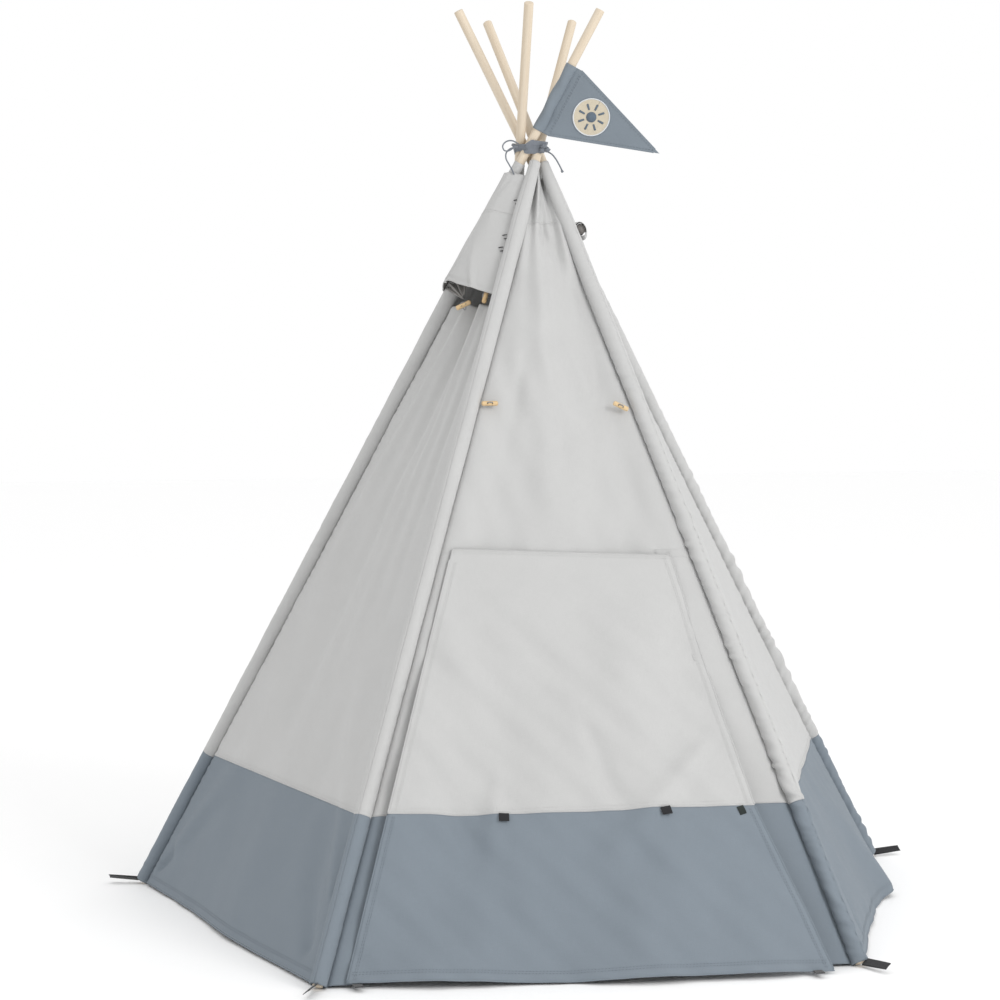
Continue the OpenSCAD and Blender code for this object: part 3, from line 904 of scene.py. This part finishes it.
def make_door():
    for node_name, low, high, slot_name, rows in (
        ("door_flap", BAND_Z, door_top, "light_cloth", 110),
        ("door_band", HEM_Z + 0.002, BAND_Z, "slate_cloth", 80),
    ):
        made = cloth_grid(node_name + "_cloth", between(door_point, low, high), rows, 150)
        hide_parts(node_name)
        ride_door(made, slot_name)
        declare_cloth(made)
    u = np.linspace(0.004, 0.996, 220)
    z_side = np.linspace(BAND_Z + 0.002, DOOR_Z - 0.016, 220)
    z_band = np.linspace(HEM_Z + 0.006, BAND_Z - 0.002, 120)
    lift = 0.0010
    light_runs = [door_point(u, BAND_Z + o + 0 * u, lift) for o in (0.004, 0.009)]
    light_runs += [door_point(u, door_top(u) - o, lift) for o in (0.004, 0.008)]
    dark_runs = [door_point(u, HEM_Z + o + 0 * u, lift) for o in (0.017, 0.021)]
    for edge in (0.012, 0.016):
        for side in (0, 1):
            for zs, runs in ((z_side, light_runs), (z_band, dark_runs)):
                share = edge / (width(FRONT, zs) * (1 - 2 * door_share(zs)))
                runs.append(door_point(share if side == 0 else 1 - share, zs, lift))
    ride_door(stitches("door_stitching", light_runs, light_thread), "light_cloth")
    ride_door(stitches("door_band_stitching", dark_runs, slate_thread), "slate_cloth")
    for side in (0, 1):
        for label, zs, slot_name in (("hem", z_side, "light_cloth"), ("band_hem", z_band, "slate_cloth")):
            edge = door_point(0 * zs + side, zs)
            ride_door(sweep(f"door_{label}_{side}", edge, 0.0015, sides=8), slot_name)
    bottom = sweep("door_bottom_hem", door_point(u, HEM_Z + 0.003 + 0 * u), 0.0017, sides=8)
    ride_door(bottom, "slate_cloth")


make_door()


# ---- webbing
UP = np.array([0, 0, 1.0])
WEB_THICK = 0.0011
# Shares of the door's width: its two loops on the colour seam, its peg loops and how they lean, its label
DOOR_LOOPS = (0.313, 0.747)
DOOR_PEG_LOOPS = ((0.020, 0.10), (0.963, -0.05))
LABEL_PLACE = 0.957
# How far each foot's loop turns aside from straight out, in the order of POLES
PEG_LOOP_LEAN = (0.35, -0.20, -0.15, 0.10, 0.12)


def ribbon(name, path, across, wide, thick):
    """A flat strip along path, wide in the direction across."""
    path = np.asarray(path, float)
    across = np.broadcast_to(np.asarray(across, float), path.shape)
    points, uv, count, run = [], [], len(path), 0.0
    for i in range(count):
        d = unit(path[min(i + 1, count - 1)] - path[max(i - 1, 0)])
        w = unit(across[i] - d * (across[i] @ d))
        n = np.cross(d, w)
        run += np.linalg.norm(path[i] - path[i - 1]) if i else 0
        for a, b in ((-0.5, -0.5), (0.5, -0.5), (0.5, 0.5), (-0.5, 0.5)):
            points.append(path[i] + w * wide * a + n * thick * b)
            uv.append((wide * a, run))
    made = mesh_object(name, points, grid_faces(count, 4, wrap=True) + end_faces(count, 4), uv)
    for polygon in made.data.polygons:
        polygon.use_smooth = False
    soft = made.modifiers.new("rounded edges", "BEVEL")
    soft.width = thick * 0.4
    soft.segments = 2
    return made


def web_loop(name, root, down, out, across, reach, wide, bulge):
    """A loop of webbing sewn on at root: it runs out along down, bulges and comes back."""
    path = [root + down * (reach * math.sin(math.pi * min(s, 1 - s)) ** 0.9)
            + out * (bulge * (0.1 + 2.0 * s * (1 - s)) + 0.0022 * s) for s in np.linspace(0, 1, 26)]
    return ribbon(name, path, across, wide, WEB_THICK)


def door_spot(u, z, lift=0.0):
    return door_point(np.array([u]), np.array([z]), lift)[0]


def make_door_webbing():
    loops = []
    for u in DOOR_LOOPS:
        root, low = (door_spot(u, BAND_Z - drop, 0.0014) for drop in (0, 0.03))
        loops.append(web_loop("door_loop", root, unit(low - root), NORMALS[FRONT], unit([1, 0, 0]),
                              reach=0.016, wide=0.020, bulge=0.009))
    for u, lean in DOOR_PEG_LOOPS:
        root = door_spot(u, HEM_Z + 0.004)
        root[2] = 0.006
        down = unit([lean, -1, 0])
        loops.append(web_loop("door_peg_loop", root, down, UP, np.cross(down, [0, 0, 1]),
                              reach=0.030, wide=0.018, bulge=0.006))
    for made in loops:
        ride_door(made, "black_webbing")
    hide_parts("door_webbing_loops")
    at, low = (door_spot(LABEL_PLACE, BAND_Z - drop, 0.0016) for drop in (0.001, 0.040))
    down = unit(low - at)
    path = [at + down * s * 0.018 + NORMALS[FRONT] * 0.0016 * math.sin(math.pi * s)
            for s in np.linspace(0, 1, 8)]
    tab = ribbon("door_label_tab", path, [1, 0, 0], 0.014, 0.0012)
    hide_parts("door_label")
    ride_door(tab, "label_cloth")


def make_peg_loops():
    """A loop of webbing at each foot, lying out on the ground and a little twisted."""
    for index, name in enumerate(POLES):
        foot = on_pole(index, 0.0)
        away = unit([*(foot - CENTRE)[:2], 0])
        across = np.array([-away[1], away[0], 0])
        along = (node_points(f"{name}_peg_loop") - foot) @ away
        loop = web_loop(f"{name}_peg_webbing", foot + away * along.min() + UP * 0.008,
                        unit(away + across * PEG_LOOP_LEAN[index]), UP, across + UP * 0.7,
                        reach=float(np.ptp(along)), wide=0.017, bulge=0.010)
        dress(loop, f"{name}_pole", "black_webbing")
        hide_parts(f"{name}_peg_loop")


make_door_webbing()
make_peg_loops()


# ---- left vent hood
# How far the hood reaches round the left pole's pocket, and its folds on a flat 0.2 m wide
HOOD_REACH = 0.013
HOOD_FOLDS = [((-0.05, 1.315), (-0.01, 1.42), 0.010, -0.006), ((0.06, 1.315), (0.01, 1.43), 0.010, 0.006)]
HOOD_TOP_Z = SEAM_Z + 0.012
CORNER_TIP = TOGGLES["left_vent_toggle"] + np.array([0.002, 0.010, 0.013])


def hood_point(u, z):
    """The hood wraps the left pole's pocket, stands out, and tucks under the front left pocket."""
    a, b = on_pole(LEFT, z), on_pole(LEFT + 1, z)
    wide = np.linalg.norm(b - a, axis=-1)
    chord = (b - a) / wide[..., None]
    reach = HOOD_REACH * smoothstep(COVER_Z + 0.02 - z, 0.0, 0.07)
    length = wide - TUCK * sleeve_r(z) + reach
    x = -reach + length * u
    drop = np.clip((COVER_Z - z) / (COVER_Z - HOOD_RIM_Z), 0, 1)
    rise = 0.012 + 0.036 * drop ** 0.7
    round_pole = 0.0215 * np.sqrt(np.clip(1 - (np.minimum(x, 0) / np.maximum(reach, 1e-4)) ** 2, 0, 1))
    s = np.clip(x / (wide - TUCK * sleeve_r(z)), 0, 1)
    off = round_pole * (1 - s) ** 1.5 + rise * np.sin(math.pi * s) ** 0.85
    flat = (u - 0.5) * 0.2
    off = off + 0.0016 * swell(flat, z, 0.07, 131, stretch=1.4) * np.sin(math.pi * np.clip(u, 0, 1))
    for fold in HOOD_FOLDS:
        off = off + crease(flat, z, *fold)
    return a + chord * x[..., None] + outer(off, NORMALS[LEFT])


def rim_z(u):
    """The rim arcs up in its first third and falls towards the front pocket."""
    arc = 0.006 * np.sin(math.pi * np.clip(u / 0.6, 0, 1))
    return HOOD_RIM_Z - 0.014 + arc - 0.008 * smoothstep(u, 0.4, 1.0)


def corner_surface(u, v):
    """A corner of the hood folds back and is drawn down to the toggle. Its dark colour is painted shade for
    its underside.
    """
    top_u = 0.02 + 0.50 * u
    top = hood_point(top_u, rim_z(top_u) + 0.004)
    top = top - outer(0.006 + 0.030 * u, NORMALS[LEFT])
    drawn = v[:, None] ** 0.8 * (0.55 + 0.45 * (1 - u[:, None]) ** 0.5)
    folds = 0.004 * np.sin(TAU * 3.2 * u) * (1 - v)
    return top + (CORNER_TIP - top) * drawn + outer(folds, NORMALS[LEFT])


def ride_hood(made, *materials):
    gather(made)
    return dress(made, "left_hood", "light_cloth", *materials)


def make_left_hood():
    peak = cloth_grid("left_peak_cloth", between(hood_point, HOOD_TOP_Z, COVER_Z + 0.02), 40, 80)
    finish_panel(peak, "left_peak", LEFT, "light_cloth")
    hood = cloth_grid("left_hood_cloth", between(hood_point, rim_z, HOOD_TOP_Z), 80, 110)
    # The inner faces take the dark second material: painted shade inside the hood.
    hood.modifiers[0].material_offset = 1
    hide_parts("left_vent_hood")
    ride_hood(hood, light_cloth, hood_painted_shade)
    declare_cloth(hood)
    u = np.linspace(0.01, 0.97, 120)
    heights = [rim_z(u) + 0.008, rim_z(u) + 0.011, HOOD_TOP_Z - 0.003 + 0 * u]
    ride_hood(stitches("left_hood_stitching", [hood_point(u, z) + NORMALS[LEFT] * 0.0010 for z in heights],
                       light_thread))
    ride_hood(sweep("left_hood_rim", hood_point(u, rim_z(u)), 0.0013, sides=8))
    corner = cloth_grid("left_hood_corner", corner_surface, 40, 60)
    ride_hood(corner, hood_painted_shade)
    declare_cloth(corner)


make_left_hood()


# ---- right side's peak and rolled hood
make_panel("right_peak", RIGHT, SEAM_Z, COVER_Z, "light_cloth", 40, 70)


def ride_roll(made, *materials):
    gather(made)
    return dress(made, "right_hood", "light_cloth", *materials)


def make_rolled_hood():
    ends = node_points("right_vent_hood")
    chord = unit(on_pole(RIGHT + 1, 1.45) - on_pole(RIGHT, 1.45))
    along = ends @ chord
    centre = ends.mean(0)
    reach = (along.max() - along.min()) / 2 + 0.010
    up = unit(np.cross(NORMALS[RIGHT], chord))

    def surface(u, v):
        """A spiral of 430 degrees that sags a little and is looser at its far end."""
        angle = math.radians(120) - math.radians(430) * u
        r = (0.0182 - 0.0050 * u) * (0.80 + 0.26 * v) * (1 + 0.04 * np.sin(TAU * 1.5 * v + 2 * u))
        sag = -0.004 * np.sin(math.pi * v)
        return (centre + outer(-reach + 2 * reach * v, chord)
                + outer(0.8 * r * np.cos(angle), NORMALS[RIGHT])
                + outer(1.15 * r * np.sin(angle) + sag, up))

    roll = cloth_grid("right_hood_roll", surface, 60, 120)
    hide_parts("right_vent_hood")
    ride_roll(roll)
    declare_cloth(roll)
    # The roll's inner turns are painted dark: painted shade inside the roll.
    core = outer(np.linspace(-reach + 0.004, reach - 0.004, 12), chord)
    ride_roll(sweep("right_hood_inner_turns", centre + core, 0.0105, sides=20), hood_painted_shade)


make_rolled_hood()


# ---- pennant
def make_pennant():
    start, d = LINES[LEFT]
    level = unit([d[0], d[1], 0])
    q = unit(level - d * (level @ d))
    n = np.cross(d, q)
    flag = node_points("flag")
    along = (flag - start) @ d
    base, tall = start + d * along.min(), along.max() - along.min()
    reach = ((flag - base) @ q).max()
    hem = 0.026

    def wave(s, r):
        share = np.clip((r - hem) / (reach - hem), 0, 1)
        return (0.0045 * share * np.sin(TAU * (0.85 * share + 0.1 * s / tall))
                + 0.0012 * swell(s, r, 0.09, 151))

    def place_on(s, r, lift=0.0):
        return (base + outer(s, d) + outer(r, q)
                + outer(wave(s, r) + lift, n))

    def surface(u, v):
        r = 0.0105 + (reach - 0.0105) * v
        share = np.clip((r - hem) / (reach - hem), 0, 1)
        low = 0.5 * tall * share
        high = tall - 0.5 * tall * share
        return place_on(low + (high - low) * u, r)

    def tube(u, v):
        angle = TAU * u
        s = tall * v
        r = 0.0121 + 0.0009 * np.sin(angle * 2 + 14 * v) + 0.0006 * np.sin(9 * v + angle)
        squeeze = 1 + 0.12 * np.cos(angle)
        return (base + outer(s, d) + outer(r * squeeze * np.cos(angle), q)
                + outer(r * np.sin(angle), n))

    for name, shape, rows, cols, thick in (("pennant_cloth", surface, 110, 70, 0.0014),
                                           ("pennant_sleeve", tube, 60, 40, CLOTH)):
        made = dress(cloth_grid(name, shape, rows, cols, thick), "pennant", "slate_cloth")
        declare_cloth(made)
        if name == "pennant_cloth":
            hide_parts("flag")
    s = np.linspace(0.006, tall - 0.006, 60)
    side_r = np.linspace(hem, reach - 0.012, 90)
    share = (side_r - hem) / (reach - hem)
    low, high = 0.5 * tall * share, tall - 0.5 * tall * share
    runs = []
    for face in (-0.0010, 0.0010):
        runs += [place_on(s, 0 * s + r, face) for r in (hem, hem + 0.003)]
        runs += [place_on(low + 0.005, side_r, face), place_on(high - 0.005, side_r, face)]
    dress(stitches("pennant_stitching", runs, slate_thread), "pennant", "slate_cloth")
    for number, side in enumerate((low, high)):
        edge = sweep(f"pennant_edge_{number}", place_on(side, side_r), 0.0011, sides=8)
        dress(edge, "pennant", "slate_cloth")
    patch_points = node_points("flag_patch") - base
    centre_s, centre_r = (float((patch_points @ way).mean()) for way in (d, q))
    radius = float(np.abs(patch_points @ d - centre_s).max())

    def on_patch(s, r, lift):
        return place_on(centre_s + s, centre_r + r, lift)

    def disc(u, v):
        angle, r = TAU * u, radius * v
        return on_patch(r * np.cos(angle), r * np.sin(angle), -0.0017)

    patch = cloth_grid("pennant_patch", disc, 24, 72, 0.0010)
    dress(patch, "pennant", "patch_cloth")
    declare_cloth(patch)
    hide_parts("flag_patch")
    turn, rim_r = np.linspace(0, TAU, 90), radius - 0.0008
    ring = sweep("pennant_patch_ring", on_patch(rim_r * np.cos(turn), rim_r * np.sin(turn), -0.0022), 0.0013)
    dress(ring, "pennant", "patch_cloth", patch_rim)
    motif = sun_motif("pennant_motif", lambda s, r: on_patch(s, r, -0.0026), radius)
    dress(motif, "pennant", "patch_cloth", patch_dark)


def sun_motif(name, where, radius):
    """A plain embroidered sun: a disc and eight short bars round it."""
    points, faces, uv = [], [], []

    def fan(outline):
        base = len(points)
        middle = np.mean(outline, axis=0)
        for s, r in [middle, *outline]:
            points.append(where(np.array([s]), np.array([r]))[0])
            uv.append((s, r))
        count = len(outline)
        for e in range(count):
            faces.append((base, base + 1 + e, base + 1 + (e + 1) % count))

    fan([(0.28 * radius * math.cos(a), 0.28 * radius * math.sin(a)) for a in np.linspace(0, TAU, 28)[:-1]])
    for ray in range(8):
        a = TAU * ray / 8
        along, across = np.array([math.cos(a), math.sin(a)]), np.array([-math.sin(a), math.cos(a)])
        bar = []
        for r, w in ((0.40, 0.045), (0.70, 0.06), (0.74, 0.03), (0.74, -0.03), (0.70, -0.06), (0.40, -0.045)):
            bar.append(tuple(along * r * radius + across * w * radius))
        fan(bar)
    made = mesh_object(name, points, faces, uv)
    thicken(made, 0.0006)
    return made


make_pennant()


# ---- tie
def hull_outline(z):
    """The outline round the five poles at height z, as a radius for each direction from the middle."""
    ring = np.linspace(0, TAU, 36, endpoint=False)
    pole_edge = 0.0108 * np.stack([np.cos(ring), np.sin(ring)], 1)
    cloud = np.concatenate([(on_pole(i, z) - CENTRE)[None, :2] + pole_edge for i in range(5)])
    directions = np.linspace(0, TAU, 181)
    support = (cloud @ np.stack([np.cos(directions), np.sin(directions)])).max(0)
    slope = np.gradient(support, directions)
    x = support * np.cos(directions) - slope * np.sin(directions)
    y = support * np.sin(directions) + slope * np.cos(directions)
    return directions, x, y


# Each free end's route from the middle of the five poles
TIE_ROUTES = {
    "tie_bow": [(-0.030, -0.029, 1.646), (-0.044, -0.033, 1.652), (-0.057, -0.035, 1.650),
                (-0.065, -0.036, 1.641), (-0.062, -0.037, 1.631), (-0.052, -0.038, 1.630),
                (-0.042, -0.037, 1.636), (-0.032, -0.033, 1.640)],
    "tie_left_tail": [(-0.034, -0.024, 1.638), (-0.046, -0.027, 1.636), (-0.056, -0.028, 1.627),
                      (-0.057, -0.029, 1.614), (-0.051, -0.030, 1.602), (-0.045, -0.031, 1.591),
                      (-0.040, -0.031, 1.580)],
    "tie_right_tail": [(0.034, -0.025, 1.630), (0.043, -0.030, 1.624), (0.051, -0.032, 1.614),
                       (0.058, -0.033, 1.602), (0.065, -0.034, 1.588)],
}
# Name, place from the middle of the poles, and size of each knot
KNOTS = [("tie_knot_0", (0.026, -0.034, 1.638), 0.0075), ("tie_knot_1", (0.032, -0.037, 1.633), 0.006),
         ("tie_knot_2", (0.021, -0.036, 1.632), 0.0055), ("tie_tail_knot", (0.065, -0.034, 1.587), 0.0030)]
KNOT_SEEDS = (170, 171, 172, 177)


def make_tie_wraps():
    """Four turns of ribbon round the poles where they cross."""
    low, high = (v.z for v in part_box("tie_wrap"))
    turns, steps = 4, 72
    path, across = [], []
    for n in range(turns * steps):
        share = n / (turns * steps - 1)
        turn = (TAU * turns * share) % TAU
        wobble = 0.0015 * math.sin(5 * turn + 3 * share)
        z = low + 0.0045 + (high - low - 0.009) * share + 0.0035 * math.sin(turn * 2 + share * 4) + wobble
        directions, x, y = hull_outline(z)
        px, py = np.interp(turn, directions, x), np.interp(turn, directions, y)
        grow = 1 + (0.0010 + 0.0011 * share * turns) / max(np.hypot(px, py), 0.01)
        path.append((CENTRE[0] + px * grow, CENTRE[1] + py * grow, z))
        across.append((0.25 * math.cos(turn), 0.25 * math.sin(turn), 1))
    wrap = ribbon("tie_wraps", path, across, 0.0100, 0.0011)
    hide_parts("tie_wrap")
    dress(wrap, "front_left_pole", "tie_ribbon")


def make_tie_ends():
    """The bow, the two tails, the knot they leave and the small knot at one end."""
    for name, route in TIE_ROUTES.items():
        path = smooth_path([np.array(p) + CENTRE for p in route], steps=10)
        made = sweep(name, path, 0.0016, sides=10, flat=0.75)
        dress(made, "front_left_pole", "tie_ribbon")
        if name == "tie_bow":
            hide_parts("tie_tails")
    for (name, place, size), seed in zip(KNOTS, KNOT_SEEDS):
        knot = blob(name, np.array(place) + CENTRE, size, seed)
        dress(knot, "front_left_pole", "tie_ribbon")


def blob(name, place, radius, seed):
    """A small lumpy knot."""
    rows, cols = 18, 24
    v, u = np.meshgrid(np.linspace(0.02, 0.98, rows), np.linspace(0, 1, cols, endpoint=False), indexing="ij")
    up, round_ = math.pi * v.ravel(), TAU * u.ravel()
    r = radius * (1 + 0.18 * np.sin(3 * round_ + 4 * up + seed) + 0.12 * np.sin(5 * up + seed))
    level = r * np.sin(up)
    points = np.stack([level * np.cos(round_), level * np.sin(round_), 0.85 * r * np.cos(up)], 1)
    faces = grid_faces(rows, cols, wrap=True) + [face[::-1] for face in end_faces(rows, cols)]
    return mesh_object(name, points + place, faces, points[:, :2])


make_tie_wraps()
make_tie_ends()


# ---- elastic loops
EDGE_LOOP_Z = (1.515, 1.437, 1.410)


def make_elastic(name, route, body, material):
    path = smooth_path(route, steps=6)
    loop = dress(sweep(name, path, 0.0011, sides=8), body, "tie_ribbon", material)


def make_toggle_loops():
    """Each toggle's elastic loop: out of the cloth, over the bar's back and in again."""
    for name, k in zip(TOGGLES, (FRONT, FRONT, LEFT, LEFT)):
        middle = TOGGLES[name]
        axis = np.linalg.svd((node_points(name) - middle)[::7])[2][0]
        out = unit(NORMALS[k] - axis * (NORMALS[k] @ axis))
        # Steps along the bar and out from it, from one end of the loop to the middle; the rest mirrors them
        half = [(-0.001, -0.0120), (-0.0035, -0.0062), (-0.005, -0.001), (-0.005, 0.0052)]
        steps = half + [(0.0, 0.0068)] + [(-along, away) for along, away in half[::-1]]
        make_elastic(f"{name}_elastic", [middle + axis * along + out * away for along, away in steps],
                     f"{name}_bar", elastic_cord)


def make_edge_loops():
    """Short elastic loops beside the front left pocket, over the left hood."""
    for number, z in enumerate(EDGE_LOOP_Z):
        back = unit(on_pole(LEFT, z) - on_pole(LEFT + 1, z))
        root = hood_point(np.array([0.93]), np.array([z]))[0] + NORMALS[LEFT] * 0.003
        up = UP * 0.004
        route = [root - back * 0.010 + up, root + up, root + back * 0.007 + up * 0.7, root + back * 0.010,
                 root + back * 0.007 - up * 0.7, root - up, root - back * 0.010 - up]
        make_elastic(f"edge_loop_{number}", route, "front_left_pole", webbing_cloth)


make_toggle_loops()
make_edge_loops()


# ---- CAD pieces that are shown as they are
toggle_grain = wood_material("toggle wood", (1, 0, 0), (0.70, 0.53, 0.31), (0.56, 0.38, 0.19), grain=0.6)
for index, pole_name in enumerate(POLES):
    grain = wood_material(f"{pole_name} pine", LINES[index][1], PINE_PALE, PINE_DEEP)
    for part in ("lower", "upper"):
        paint(frame["nodes"][f"{pole_name}_pole_{part}"], grain)
    paint(frame["nodes"][f"{pole_name}_ferrule"], metal)
for name in TOGGLES:
    paint(frame["nodes"][name], toggle_grain)
